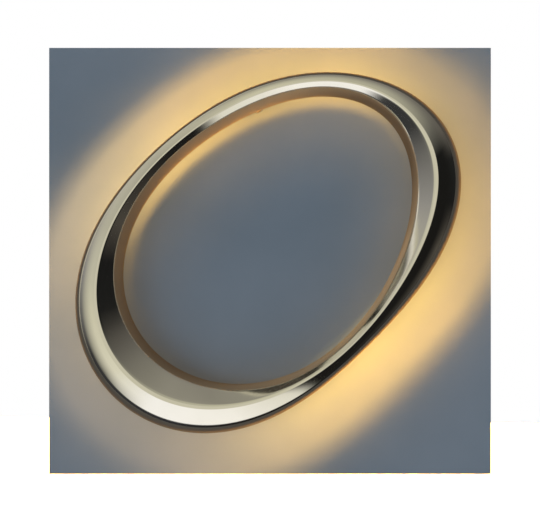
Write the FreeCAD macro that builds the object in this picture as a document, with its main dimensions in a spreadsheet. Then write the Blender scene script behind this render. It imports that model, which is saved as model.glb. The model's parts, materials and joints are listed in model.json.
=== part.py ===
"""Halo-lit oval ring sign element, millimetres.

A hollow polished ring stands off a wall. Lamps inside it shine back through a diffusing panel on to
the wall, so that a glow shows round the rim and inside the hole.

Row frame: X to the right, Z up, +Y into the wall. The wall is the plane Y = 0, and the origin is the
middle of the rim's outline on that wall.
Plan frame, in which every piece is drawn: x to the right, y up the wall, z out from the wall.
Levels are counted out from the wall. The ring's own back edge is at the level stand_off.
"""

import FreeCAD, Part

import functools
import math
import os

import Sketcher
from FreeCAD import Placement, Rotation, Vector

DIMENSIONS = {
    # outline of the rim, a tilted oval with an egg and a square term
    "rim_radius": 245,
    "rim_oval": 0.376,
    "rim_oval_turn": 40.5,
    "rim_egg": 0.039,
    "rim_egg_turn": -36.5,
    "rim_square": 0.03,
    "rim_square_turn": -42.5,
    # outline of the hole at the front edge of its wall
    "hole_radius": 203,
    "hole_oval": 0.286,
    "hole_oval_turn": 44,
    "hole_egg": 0.053,
    "hole_egg_turn": -8.5,
    "hole_right": 8,
    "hole_up": 11.5,
    # cross-section of the ring
    "stand_off": 32,
    "gauge": 1.2,
    "return_height": 8,
    "hole_wall_height": 34.5,
    "hole_wall_flare": 4.3,
    "ridge_share": 0.8,
    "ridge_share_loss": 0.0024,
    "ridge_base": 30.5,
    "ridge_gain": 0.427,
    "ridge_round_share": 0.07,
    "ridge_fullness": 0.86,
    "flank_rise_angle": 17,
    "flank_fullness": 1.2,
    # back panel and lamp tray
    "edge_gap": 0.8,
    "flank_gap": 1.8,
    "panel_recess": 1,
    "panel_thickness": 4.5,
    "tray_level": 18,
    "tray_thickness": 1.5,
    # cross bars, their studs, and what the studs pass through
    "bar_width": 14,
    "bar_thickness": 3,
    "bar_end_gap": 1,
    "bar_flank_gap": 2.4,
    "stud_radius": 2.5,
    "stud_hole_radius": 2.8,
    "stud_back": 6,
    "spacer_radius": 4.5,
    "stud_washer_radius": 5,
    "stud_washer_thickness": 1,
    "stud_nut_across": 8,
    "stud_nut_thickness": 4,
    "stud_nut_bore_radius": 2.55,
    # locating pins and wall sockets
    "pin_radius": 6,
    "pin_end_gap": 4,
    "pin_flange_radius": 9,
    "pin_flange_thickness": 2,
    "pin_neck_radius": 3,
    "pin_neck_hole_radius": 3.3,
    "pin_nut_across": 10,
    "pin_nut_thickness": 5,
    "pin_nut_bore_radius": 3.05,
    "pin_washer_radius": 6,
    "pin_washer_thickness": 1.2,
    "socket_radius": 10,
    "socket_length": 30,
    "socket_bore_radius": 6.05,
    "socket_floor": 4,
    "wall_screw_radius": 2.75,
    "grub_radius": 2.5,
    "grub_hole_radius": 2.55,
    "grub_gap": 0.1,
    "grub_level": 19,
    "grub_hex_across": 2.5,
    "grub_hex_depth": 2,
    # lamp modules
    "module_length": 32,
    "module_width": 12,
    "module_thickness": 4,
    "module_corner": 2,
    "lens_spacing": 18,
    "lens_radius": 3.6,
    "lens_thickness": 2.4,
    "lens_rounding": 2,
    "module_hole_radius": 1.6,
    "module_screw_radius": 1.5,
    "module_screw_length": 7,
    "module_screw_head_radius": 2.75,
    "module_screw_head": 1.6,
    "module_screw_slot_width": 0.8,
    "module_screw_slot_depth": 0.8,
    "lead_radius": 1.25,
    "lead_side": 4,
    "lead_bow": 4.5,
    "short_lead_bow": 0.5,
    "lead_gap": 0.2,
    # terminal block and cable gland
    "terminal_length": 24,
    "terminal_width": 12,
    "terminal_thickness": 5,
    "terminal_pocket_radius": 2.2,
    "terminal_pocket_depth": 2,
    "terminal_pitch": 12,
    "terminal_screw_radius": 2,
    "terminal_screw_length": 1.6,
    "feed_radius": 1.2,
    "feed_pitch": 5,
    "gland_thread_radius": 6,
    "gland_hole_radius": 6.2,
    "gland_bore_radius": 4,
    "gland_flange_across": 15,
    "gland_flange_thickness": 5,
    "gland_thread_inside": 9,
    "gland_cap_radius": 7.5,
    "gland_cap_length": 11,
    "gland_cap_mouth_radius": 3.5,
    "gland_cap_rounding": 3,
    "gland_nut_across": 15,
    "gland_nut_thickness": 3.5,
    "gland_nut_bore_radius": 6.05,
}

STATIONS = 48  # cross-sections round the ring
BAYS = 18  # equal lengths of the ring, with a lamp module in the middle of each
FIRST_BAY_ANGLE = 22
PIN_BAYS = (0, 4, 8, 11)  # the bays that start with a locating pin
BAR_BAYS = (1, 3, 5, 7, 9, 12, 14, 16)  # the bays that start with a cross bar
TERMINAL_BAY = 10  # the bay that starts with the terminal block and the gland
OUT_FROM_WALL = Rotation(Vector(1, 0, 0), 90)

document = FreeCAD.newDocument("ring_sign")
sheet = document.addObject("Spreadsheet::Sheet", "dims")
for line, (alias, value) in enumerate(DIMENSIONS.items(), start=1):
    sheet.set(f"A{line}", alias)
    sheet.set(f"B{line}", str(value))
    sheet.setAlias(f"B{line}", alias)
document.recompute()


def size(alias):
    """A driving dimension's value."""
    return float(sheet.get(alias))


# ---- outlines and cross-section -------------------------------------------------------------------


def rim_point(angle):
    """The rim's outline in plan, at a polar angle in radians."""
    wave = (
        1
        - size("rim_oval") * math.cos(2 * (angle - math.radians(size("rim_oval_turn"))))
        + size("rim_egg") * math.cos(3 * (angle - math.radians(size("rim_egg_turn"))))
        + size("rim_square") * math.cos(4 * (angle - math.radians(size("rim_square_turn"))))
    )
    reach = size("rim_radius") / math.sqrt(wave)
    return Vector(reach * math.cos(angle), reach * math.sin(angle), 0)


def hole_point(angle):
    """The hole's outline in plan, at a polar angle in radians about the hole's own centre."""
    wave = (
        1
        - size("hole_oval") * math.cos(2 * (angle - math.radians(size("hole_oval_turn"))))
        + size("hole_egg") * math.cos(3 * (angle - math.radians(size("hole_egg_turn"))))
    )
    reach = size("hole_radius") / math.sqrt(wave)
    return Vector(
        size("hole_right") + reach * math.cos(angle), size("hole_up") + reach * math.sin(angle), 0
    )


def section_points(width):
    """Corners and pull points of the ring's cross-section: (distance in from the rim, level).

    The names ending in _in lie one sheet gauge inside the skin.
    """
    gauge = size("gauge")
    lip = size("hole_wall_height")
    toe = width + size("hole_wall_flare")
    ridge = (size("ridge_share") - size("ridge_share_loss") * width) * width
    top = size("ridge_base") + size("ridge_gain") * width
    rise = math.radians(size("flank_rise_angle"))
    fall = math.atan2(top - lip, width - ridge)
    flank_pull = top - ridge * math.tan(rise)
    rounding = size("ridge_round_share") * width
    start = (ridge - rounding * math.cos(rise), top - rounding * math.sin(rise))
    end = (ridge + rounding * math.cos(fall), top - rounding * math.sin(fall))
    under_flank = (gauge * math.sin(rise), -gauge * math.cos(rise))
    under_slope = (-gauge * math.sin(fall), -gauge * math.cos(fall))
    mitre = 1 + math.cos(rise + fall)
    points = {
        "foot": (0, 0),
        "shoulder": (0, size("return_height")),
        "flank_pull": (0, flank_pull),
        "ridge_start": start,
        "ridge_pull": (ridge, top),
        "ridge_end": end,
        "lip": (width, lip),
        "toe": (toe, 0),
        "foot_in": (gauge, 0),
        "shoulder_in": (gauge, size("return_height")),
        "flank_pull_in": (gauge, flank_pull + gauge * (math.sin(rise) - 1) / math.cos(rise)),
        "ridge_start_in": (start[0] + under_flank[0], start[1] + under_flank[1]),
        "ridge_pull_in": (
            ridge + (under_flank[0] + under_slope[0]) / mitre,
            top + (under_flank[1] + under_slope[1]) / mitre,
        ),
        "ridge_end_in": (end[0] + under_slope[0], end[1] + under_slope[1]),
        "lip_in": (width + under_slope[0], lip + under_slope[1]),
        "toe_in": (toe - gauge, 0),
    }
    return {name: (inward, size("stand_off") + level) for name, (inward, level) in points.items()}


def pull_weight(name):
    """How strongly a conic bends towards a pull point, where the root of a half is a true ellipse."""
    if name.startswith("flank_pull"):
        return size("flank_fullness")
    if name.startswith("ridge_pull"):
        return size("ridge_fullness")
    return 1


def hole_distance(start, direction):
    """Distance from a point of the band to the hole's outline along a unit vector."""
    near, far = 0, size("rim_radius")
    centre = Vector(size("hole_right"), size("hole_up"), 0)
    while far - near > 1e-6:
        guess = (near + far) / 2
        arm = start + direction * guess - centre
        outline = hole_point(math.atan2(arm.y, arm.x)) - centre
        if arm.Length > outline.Length:
            near = guess
        else:
            far = guess
    return near


@functools.cache
def across(angle):
    """The rim's point, the unit vector square to the rim towards the hole, and the band's width."""
    nudge = 0.001
    rim = rim_point(angle)
    along = rim_point(angle + nudge) - rim_point(angle - nudge)
    direction = Vector(-along.y, along.x, 0) / along.Length
    return rim, direction, hole_distance(rim, direction)


def band_point(angle, inward, level=0):
    """A point of the band, a distance in from the rim and out from the wall."""
    rim, direction, _ = across(angle)
    return rim + direction * inward + Vector(0, 0, level)


def smooth_poles(points):
    """Poles of the closed cubic that runs through evenly spaced points of a smooth closed curve."""
    poles = []
    for index, point in enumerate(points):
        before = points[index - 1]
        after = points[(index + 1) % len(points)]
        poles.append(point - (before + after - point * 2) / 6)
    return poles


def station_angles():
    """Polar angles of the cross-sections."""
    return [2 * math.pi * index / STATIONS for index in range(STATIONS)]


def band_face(names):
    """The surface swept round the ring by two or three named points of the cross-section."""
    rows = []
    for name in names:
        points = []
        for angle in station_angles():
            inward, level = section_points(across(angle)[2])[name]
            points.append(band_point(angle, inward, level))
        rows.append(smooth_poles(points))
    poles = [list(column) for column in zip(*rows)]
    weights = [[pull_weight(name) for name in names] for _ in poles]
    ends = [len(names), len(names)]
    surface = Part.BSplineSurface()
    surface.buildFromPolesMultsKnots(
        poles, [1] * (STATIONS + 1), ends, list(range(STATIONS + 1)), [0, 1],
        True, False, 3, len(names) - 1, weights,
    )
    return surface.toShape()


def ring_solid(*faces):
    """The closed ring between the given surfaces."""
    shell = Part.makeShell([band_face(names) for names in faces])
    shell.sewShape()
    solid = Part.makeSolid(shell)
    if solid.Volume < 0:
        solid.reverse()
    return solid


def closed_outline(inward):
    """A smooth closed curve in plan at a distance in from the rim, which is a function of the width."""
    points = [band_point(angle, inward(across(angle)[2])) for angle in station_angles()]
    curve = Part.BSplineCurve()
    curve.buildFromPolesMultsKnots(
        smooth_poles(points), [1] * (STATIONS + 1), list(range(STATIONS + 1)), True, 3
    )
    return curve


# ---- places round the ring ------------------------------------------------------------------------


def middle(width):
    """Distance in from the rim of the line that the lamps follow."""
    return (width + size("hole_wall_flare") / 2) / 2


def bay_angles(shift):
    """Polar angles of the points that lie shift bays past each bay's start, along the lamps' line."""
    steps = 3600
    first = math.radians(FIRST_BAY_ANGLE)
    angles = [first + 2 * math.pi * step / steps for step in range(steps + 1)]
    points = [band_point(angle, middle(across(angle)[2])) for angle in angles]
    travel = [0]
    for before, after in zip(points, points[1:]):
        travel.append(travel[-1] + (after - before).Length)
    found = []
    for bay in range(BAYS):
        wanted = travel[-1] * (bay + shift) / BAYS
        step = next(index for index, length in enumerate(travel) if length >= wanted)
        found.append(angles[step])
    return found


def place(angle, level=0):
    """Row placement at the lamps' line: local x along the ring, local y towards the hole, z out."""
    nudge = 0.001
    point = band_point(angle, middle(across(angle)[2]))
    ahead = band_point(angle + nudge, middle(across(angle + nudge)[2]))
    along = ahead - point
    turn = Rotation(Vector(0, 0, 1), math.degrees(math.atan2(along.y, along.x)))
    return Placement(Vector(point.x, -level, point.y), OUT_FROM_WALL.multiply(turn))


STARTS = bay_angles(0)
MIDDLES = bay_angles(0.5)
PINS = [STARTS[bay] for bay in PIN_BAYS]
BARS = [STARTS[bay] for bay in BAR_BAYS]
TERMINAL = STARTS[TERMINAL_BAY]


# ---- building helpers -----------------------------------------------------------------------------


def new_body(name):
    """An empty body that can hold several separate solids."""
    body = document.addObject("PartDesign::Body", name)
    body.AllowCompound = True
    return body


def new_sketch(body, level):
    """A sketch on the body's own plan plane, lifted to a level given as an expression."""
    plan = next(item for item in body.Origin.OriginFeatures if item.Role == "XY_Plane")
    sketch = body.newObject("Sketcher::SketchObject", body.Name + "_sketch")
    sketch.AttachmentSupport = (plan, [""])
    sketch.MapMode = "FlatFace"
    sketch.setExpression("AttachmentOffset.Base.z", level)
    return sketch


def circle(sketch, radius, centre=Vector(0, 0, 0)):
    """A circle whose radius is bound to a sheet expression."""
    shape = sketch.addGeometry(Part.Circle(centre, Vector(0, 0, 1), 1), False)
    rule = sketch.addConstraint(Sketcher.Constraint("Radius", shape, 1))
    sketch.setExpression(f"Constraints[{rule}]", radius)


def polygon(sketch, corners):
    """Straight lines joined end to end through the corners."""
    first = sketch.GeometryCount
    for start, end in zip(corners, corners[1:] + corners[:1]):
        sketch.addGeometry(Part.LineSegment(start, end), False)
    for index in range(len(corners)):
        following = first + (index + 1) % len(corners)
        sketch.addConstraint(Sketcher.Constraint("Coincident", first + index, 2, following, 1))


def hexagon(sketch, across_flats):
    """A hexagon about the sketch's origin."""
    reach = size(across_flats) / math.sqrt(3)
    turns = [math.radians(60 * index) for index in range(6)]
    polygon(sketch, [Vector(reach * math.cos(turn), reach * math.sin(turn), 0) for turn in turns])


def rectangle(sketch, length, width):
    """A rectangle about the sketch's origin."""
    right, up = length / 2, width / 2
    polygon(
        sketch,
        [Vector(-right, -up, 0), Vector(right, -up, 0), Vector(right, up, 0), Vector(-right, up, 0)],
    )


def pad(body, sketch, length):
    """Material from the sketch outwards by a length given as an expression."""
    feature = body.newObject("PartDesign::Pad", body.Name + "_pad")
    feature.Profile = sketch
    feature.setExpression("Length", length)
    sketch.Visibility = False
    document.recompute()
    return feature


def pocket(body, sketch, length):
    """A cut from the sketch outwards by a length given as an expression."""
    before = body.Shape.Volume
    feature = body.newObject("PartDesign::Pocket", body.Name + "_pocket")
    feature.Profile = sketch
    feature.Reversed = True
    feature.setExpression("Length", length)
    document.recompute()
    if body.Shape.Volume >= before:
        raise RuntimeError(f"{body.Name}: a pocket cut nothing")
    return feature


def round_pad(body, radius, level, length):
    """A cylinder on the body's axis."""
    sketch = new_sketch(body, level)
    circle(sketch, radius)
    return pad(body, sketch, length)


def round_pocket(body, radius, level, length):
    """A round hole on the body's axis."""
    sketch = new_sketch(body, level)
    circle(sketch, radius)
    return pocket(body, sketch, length)


def hex_pad(body, across_flats, level, length):
    """A hexagonal prism on the body's axis."""
    sketch = new_sketch(body, level)
    hexagon(sketch, across_flats)
    return pad(body, sketch, length)


def rounded_rim(body, feature, level, radius):
    """A fillet on the outer circles of a body at one level."""
    rims = [
        (edge.Length, f"Edge{index}")
        for index, edge in enumerate(feature.Shape.Edges, start=1)
        if abs(edge.BoundBox.ZMin - level) < 0.001 and abs(edge.BoundBox.ZMax - level) < 0.001
    ]
    longest = max(length for length, _ in rims)
    fillet = body.newObject("PartDesign::Fillet", body.Name + "_rounding")
    fillet.Base = (feature, [name for length, name in rims if length > longest - 0.001])
    fillet.setExpression("Radius", radius)
    document.recompute()
    return fillet


def group(name, master, placements):
    """Identical pieces, one copy of the master at each place."""
    links = []
    for index, placement in enumerate(placements):
        link = document.addObject("App::Link", f"{name}_{index}")
        link.LinkedObject = master
        link.Placement = placement
        links.append(link)
    compound = document.addObject("Part::Compound", name)
    compound.Links = links
    return compound


def ring_feature(name, *faces):
    """A ring piece bounded by swept surfaces."""
    feature = document.addObject("Part::Feature", name)
    feature.Shape = ring_solid(*faces)
    feature.Placement = Placement(Vector(0, 0, 0), OUT_FROM_WALL)
    return feature


def ring_plate(name, outer, inner, level, thickness, holes):
    """A flat ring with round holes: (radius expression, placements of the holes)."""
    body = new_body(name)
    sketch = new_sketch(body, level)
    sketch.addGeometry(closed_outline(outer), False)
    sketch.addGeometry(closed_outline(inner), False)
    pad(body, sketch, thickness)
    cuts = new_sketch(body, level)
    for radius, placements in holes:
        for placement in placements:
            circle(cuts, radius, Vector(placement.Base.x, placement.Base.z, 0))
    pocket(body, cuts, thickness)
    body.Placement = Placement(Vector(0, 0, 0), OUT_FROM_WALL)
    return body


# ---- polished shell -------------------------------------------------------------------------------


def make_shell():
    """Formed face, rim wall and hole wall, with the cross bars and studs welded inside them."""
    face = ring_feature(
        "face_dome",
        ("shoulder", "flank_pull", "ridge_start"),
        ("ridge_start", "ridge_pull", "ridge_end"),
        ("ridge_end", "lip"),
        ("lip", "lip_in"),
        ("lip_in", "ridge_end_in"),
        ("ridge_end_in", "ridge_pull_in", "ridge_start_in"),
        ("ridge_start_in", "flank_pull_in", "shoulder_in"),
        ("shoulder_in", "shoulder"),
    )
    rim_wall = ring_feature(
        "outer_return",
        ("foot", "shoulder"),
        ("shoulder", "shoulder_in"),
        ("shoulder_in", "foot_in"),
        ("foot_in", "foot"),
    )
    hole_wall = ring_feature(
        "inner_return", ("lip", "toe"), ("toe", "toe_in"), ("toe_in", "lip_in"), ("lip_in", "lip")
    )
    return [face, rim_wall, hole_wall, make_cross_bars(), make_studs()]


def make_cross_bars():
    """Flat bars across the inside of the ring, ending just short of its walls."""
    level = size("tray_level") + size("tray_thickness")
    front = level + size("bar_thickness")
    flare = size("hole_wall_flare") * (1 - front / size("hole_wall_height"))
    flank_clear = size("gauge") + size("bar_flank_gap")
    hole_clear = size("gauge") + size("bar_end_gap")
    bars = []
    for index, angle in enumerate(BARS):
        rim, direction, _ = across(angle)
        side = Vector(direction.y, -direction.x, 0)
        corners = [rim + side * shift for shift in (-size("bar_width") / 2, size("bar_width") / 2)]
        reach = min(hole_distance(corner, direction) for corner in corners)
        turn = Rotation(Vector(0, 0, 1), math.degrees(math.atan2(side.y, side.x)))
        start = corners[0] + direction * flank_clear
        bar = document.addObject("Part::Box", f"cross_bar_{index}")
        bar.setExpression("Length", "dims.bar_width")
        bar.setExpression("Height", "dims.bar_thickness")
        bar.Width = reach + flare - flank_clear - hole_clear
        base = Vector(start.x, -size("stand_off") - level, start.y)
        bar.Placement = Placement(base, OUT_FROM_WALL.multiply(turn))
        bars.append(bar)
    compound = document.addObject("Part::Compound", "cross_bars")
    compound.Links = bars
    return compound


def make_studs():
    """Threaded studs that stand back towards the wall from the cross bars."""
    master = new_body("one_stud")
    length = "dims.stud_back + dims.tray_level + dims.tray_thickness"
    round_pad(master, "dims.stud_radius", "-dims.stud_back", length)
    return group("shell_studs", master, [place(angle, size("stand_off")) for angle in BARS])


# ---- lamp tray ------------------------------------------------------------------------------------


def make_plates():
    """Diffusing back panel and the metal tray that carries the lamps."""
    hole_wall_slope = size("hole_wall_flare") / size("hole_wall_height")
    clear = size("gauge") + size("edge_gap")

    def hole_side(level):
        """Edge beside the hole's wall, as a function of the band's width."""
        return lambda width: width + size("hole_wall_flare") - hole_wall_slope * level - clear

    pins = [place(angle) for angle in PINS]
    studs = [place(angle) for angle in BARS]
    modules = [place(angle) for angle in MIDDLES]
    panel = ring_plate(
        "back_panel",
        lambda width: clear,
        hole_side(size("panel_recess") + size("panel_thickness")),
        "dims.stand_off + dims.panel_recess",
        "dims.panel_thickness",
        [
            ("dims.stud_hole_radius", studs),
            ("dims.pin_neck_hole_radius", pins),
            ("dims.gland_hole_radius", [place(TERMINAL)]),
        ],
    )
    tray = ring_plate(
        "led_tray",
        lambda width: size("gauge") + size("flank_gap"),
        hole_side(size("tray_level") + size("tray_thickness")),
        "dims.stand_off + dims.tray_level",
        "dims.tray_thickness",
        [("dims.stud_hole_radius", studs), ("dims.module_hole_radius", modules)],
    )
    return [panel, tray]


def make_stud_hardware():
    """Spacers between panel and tray, and the washers and nuts behind the panel."""
    spots = [place(angle, size("stand_off")) for angle in BARS]
    front = "dims.panel_recess + dims.panel_thickness"
    spacer = new_body("one_spacer")
    gap = f"dims.tray_level - ({front})"
    round_pad(spacer, "dims.spacer_radius", front, gap)
    round_pocket(spacer, "dims.stud_hole_radius", front, gap)
    washer = new_body("one_stud_washer")
    back = "dims.panel_recess - dims.stud_washer_thickness"
    round_pad(washer, "dims.stud_washer_radius", back, "dims.stud_washer_thickness")
    round_pocket(washer, "dims.stud_hole_radius", back, "dims.stud_washer_thickness")
    nut = new_body("one_stud_nut")
    end = f"{back} - dims.stud_nut_thickness"
    hex_pad(nut, "stud_nut_across", end, "dims.stud_nut_thickness")
    round_pocket(nut, "dims.stud_nut_bore_radius", end, "dims.stud_nut_thickness")
    return [
        group("tray_spacers", spacer, spots),
        group("stud_washers", washer, spots),
        group("stud_nuts", nut, spots),
    ]


def make_pins():
    """Locating pins on the panel, with the washers and nuts that hold them."""
    spots = [place(angle, size("stand_off")) for angle in PINS]
    pin = new_body("one_pin")
    tip = "dims.socket_floor + dims.pin_end_gap - dims.stand_off"
    round_pad(pin, "dims.pin_radius", tip, f"dims.panel_recess - ({tip})")
    flange = "dims.panel_recess - dims.pin_flange_thickness"
    round_pad(pin, "dims.pin_flange_radius", flange, "dims.pin_flange_thickness")
    stack = "dims.panel_thickness + dims.pin_washer_thickness + dims.pin_nut_thickness"
    round_pad(pin, "dims.pin_neck_radius", "dims.panel_recess", stack)
    washer = new_body("one_pin_washer")
    front = "dims.panel_recess + dims.panel_thickness"
    round_pad(washer, "dims.pin_washer_radius", front, "dims.pin_washer_thickness")
    round_pocket(washer, "dims.pin_neck_hole_radius", front, "dims.pin_washer_thickness")
    nut = new_body("one_pin_nut")
    seat = f"{front} + dims.pin_washer_thickness"
    hex_pad(nut, "pin_nut_across", seat, "dims.pin_nut_thickness")
    round_pocket(nut, "dims.pin_nut_bore_radius", seat, "dims.pin_nut_thickness")
    return [
        group("locator_pins", pin, spots),
        group("pin_washers", washer, spots),
        group("pin_nuts", nut, spots),
    ]


def make_modules():
    """Lamp modules on the back of the tray, with their lenses, screws and joining leads."""
    spots = [place(angle, size("stand_off")) for angle in MIDDLES]
    module = new_body("one_module")
    back = "dims.tray_level - dims.module_thickness"
    sketch = new_sketch(module, back)
    rectangle(sketch, size("module_length"), size("module_width"))
    block = pad(module, sketch, "dims.module_thickness")
    corners = [
        f"Edge{index}"
        for index, edge in enumerate(block.Shape.Edges, start=1)
        if edge.BoundBox.ZLength > size("module_thickness") / 2
    ]
    rounding = module.newObject("PartDesign::Fillet", "module_corners")
    rounding.Base = (block, corners)
    rounding.setExpression("Radius", "dims.module_corner")
    document.recompute()
    round_pocket(module, "dims.module_hole_radius", back, "dims.module_thickness")

    lens = new_body("one_lens")
    lens_back = f"{back} - dims.lens_thickness"
    dome = round_pad(lens, "dims.lens_radius", lens_back, "dims.lens_thickness")
    level = size("tray_level") - size("module_thickness") - size("lens_thickness")
    rounded_rim(lens, dome, level, "dims.lens_rounding")
    half = size("lens_spacing") / 2
    sides = [Placement(Vector(shift, 0, 0), Rotation()) for shift in (-half, half)]
    lens_spots = [spot.multiply(side) for spot in spots for side in sides]

    screw = new_body("one_module_screw")
    head = f"{back} - dims.module_screw_head"
    round_pad(screw, "dims.module_screw_head_radius", head, "dims.module_screw_head")
    round_pad(screw, "dims.module_screw_radius", back, "dims.module_screw_length")
    slot = new_sketch(screw, head)
    rectangle(slot, 2 * size("module_screw_head_radius") + 1, size("module_screw_slot_width"))
    pocket(screw, slot, "dims.module_screw_slot_depth")
    return [
        group("led_modules", module, spots),
        group("led_lenses", lens, lens_spots),
        group("module_screws", screw, spots),
        make_leads(spots),
    ]


def lead_between(start, end, bow):
    """A round lead on an arc between two points of the plan, pushed sideways by bow."""
    middle_point = (start + end) / 2 + bow
    path = Part.Wire([Part.Arc(start, middle_point, end).toShape()])
    tangent = path.Edges[0].tangentAt(path.Edges[0].FirstParameter)
    profile = Part.Wire([Part.makeCircle(size("lead_radius"), start, tangent)])
    return path.makePipeShell([profile], True, True)


def make_leads(spots):
    """Two-core leads from each module to the next, and from the end modules to the terminals."""
    to_plan = Placement(Vector(0, 0, 0), OUT_FROM_WALL).inverse()
    height = size("tray_level") - size("module_thickness") / 2
    reach = size("module_length") / 2 + size("lead_gap")
    side = -size("lead_side")
    block_reach = size("terminal_length") / 2 + size("lead_gap")
    leads = []
    for index, spot in enumerate(spots):
        here = to_plan.multiply(spot)
        there = to_plan.multiply(spots[(index + 1) % BAYS])
        start = here.multVec(Vector(reach, side, height))
        end = there.multVec(Vector(-reach, side, height))
        outward = here.Rotation.multVec(Vector(0, -1, 0))
        bow = outward * (size("lead_bow") + (end - start).Length ** 2 / (8 * size("rim_radius")))
        runs = [(start, end, bow)]
        if (index + 1) % BAYS == TERMINAL_BAY:
            block = to_plan.multiply(place(TERMINAL, size("stand_off")))
            near = block.multVec(Vector(-block_reach, side, height))
            far = block.multVec(Vector(block_reach, side, height))
            runs = [(start, near, outward * size("short_lead_bow"))]
            runs.append((far, end, outward * size("short_lead_bow")))
        for first, last, sideways in runs:
            leads.append(lead_between(first, last, sideways))
    feature = document.addObject("Part::Feature", "module_leads")
    feature.Shape = Part.makeCompound(leads)
    feature.Placement = Placement(Vector(0, 0, 0), OUT_FROM_WALL)
    return feature


def make_terminal():
    """Terminal block on the back of the tray, its screws, and the tails from the gland."""
    spot = place(TERMINAL, size("stand_off"))
    block = new_body("terminal_block")
    back = "dims.tray_level - dims.terminal_thickness"
    sketch = new_sketch(block, back)
    rectangle(sketch, size("terminal_length"), size("terminal_width"))
    pad(block, sketch, "dims.terminal_thickness")
    half = size("terminal_pitch") / 2
    pockets = new_sketch(block, back)
    for shift in (-half, half):
        circle(pockets, "dims.terminal_pocket_radius", Vector(shift, 0, 0))
    pocket(block, pockets, "dims.terminal_pocket_depth")
    block.Placement = spot

    screw = new_body("one_terminal_screw")
    seat = f"{back} + dims.terminal_pocket_depth - dims.terminal_screw_length"
    round_pad(screw, "dims.terminal_screw_radius", seat, "dims.terminal_screw_length")
    slot = new_sketch(screw, seat)
    rectangle(slot, 2 * size("terminal_screw_radius") + 1, size("module_screw_slot_width"))
    pocket(screw, slot, "dims.module_screw_slot_depth")
    screw_spots = [
        spot.multiply(Placement(Vector(shift, 0, 0), Rotation())) for shift in (-half, half)
    ]

    tail = new_body("one_feed_lead")
    start = "dims.panel_recess - dims.gland_flange_thickness"
    round_pad(tail, "dims.feed_radius", start, f"{back} - ({start})")
    reach = size("feed_pitch") / 2
    tail_spots = [
        spot.multiply(Placement(Vector(0, shift, 0), Rotation())) for shift in (-reach, reach)
    ]
    return [
        block,
        group("terminal_screws", screw, screw_spots),
        group("feed_leads", tail, tail_spots),
    ]


def make_gland():
    """Cable gland in the back panel: body, clamping cap and lock nut."""
    spot = place(TERMINAL, size("stand_off"))
    body = new_body("gland_body")
    flange = "dims.panel_recess - dims.gland_flange_thickness"
    hex_pad(body, "gland_flange_across", flange, "dims.gland_flange_thickness")
    round_pad(body, "dims.gland_thread_radius", "dims.panel_recess", "dims.gland_thread_inside")
    whole = "dims.gland_flange_thickness + dims.gland_thread_inside"
    round_pocket(body, "dims.gland_bore_radius", flange, whole)
    body.Placement = spot

    cap = new_body("gland_cap")
    end = f"{flange} - dims.gland_cap_length"
    dome = round_pad(cap, "dims.gland_cap_radius", end, "dims.gland_cap_length")
    level = size("panel_recess") - size("gland_flange_thickness") - size("gland_cap_length")
    rounded_rim(cap, dome, level, "dims.gland_cap_rounding")
    round_pocket(cap, "dims.gland_cap_mouth_radius", end, "dims.gland_cap_length")
    cap.Placement = spot

    nut = new_body("gland_nut")
    front = "dims.panel_recess + dims.panel_thickness"
    hex_pad(nut, "gland_nut_across", front, "dims.gland_nut_thickness")
    round_pocket(nut, "dims.gland_nut_bore_radius", front, "dims.gland_nut_thickness")
    nut.Placement = spot
    return [body, cap, nut]


# ---- wall fixing ----------------------------------------------------------------------------------


def upright(angle):
    """Row placement on the wall at a pin, with local y straight up."""
    base = place(angle).Base
    return Placement(base, OUT_FROM_WALL)


def make_sockets():
    """Wall sockets that take the locating pins, each with a grub screw from below."""
    spots = [upright(angle) for angle in PINS]
    socket = new_body("one_socket")
    round_pad(socket, "dims.socket_radius", "0", "dims.socket_length")
    round_pocket(
        socket, "dims.socket_bore_radius", "dims.socket_floor", "dims.socket_length - dims.socket_floor"
    )
    round_pocket(socket, "dims.wall_screw_radius", "0", "dims.socket_floor")
    front = next(item for item in socket.Origin.OriginFeatures if item.Role == "XZ_Plane")
    side = socket.newObject("Sketcher::SketchObject", "socket_side_sketch")
    side.AttachmentSupport = (front, [""])
    side.MapMode = "FlatFace"
    circle(side, "dims.grub_hole_radius", Vector(0, size("grub_level"), 0))
    before = socket.Shape.Volume
    hole = socket.newObject("PartDesign::Pocket", "socket_side_hole")
    hole.Profile = side
    hole.Reversed = True
    hole.setExpression("Length", "dims.socket_radius + 1")
    document.recompute()
    if hole.Shape.BoundBox.YMax < size("socket_radius") - 0.001 or socket.Shape.Volume >= before:
        raise RuntimeError("the grub screw's hole is on the wrong side")

    grub = new_body("one_grub")
    length = "dims.socket_radius - dims.pin_radius - 2 * dims.grub_gap"
    round_pad(grub, "dims.grub_radius", "dims.pin_radius + dims.grub_gap", length)
    drive = new_sketch(grub, "dims.socket_radius - dims.grub_gap - dims.grub_hex_depth")
    hexagon(drive, "grub_hex_across")
    pocket(grub, drive, "dims.grub_hex_depth")
    downward = Placement(Vector(0, 0, size("grub_level")), Rotation(Vector(1, 0, 0), 90))
    return [
        group("wall_sockets", socket, spots),
        group("grub_screws", grub, [spot.multiply(downward) for spot in spots]),
    ]


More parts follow.
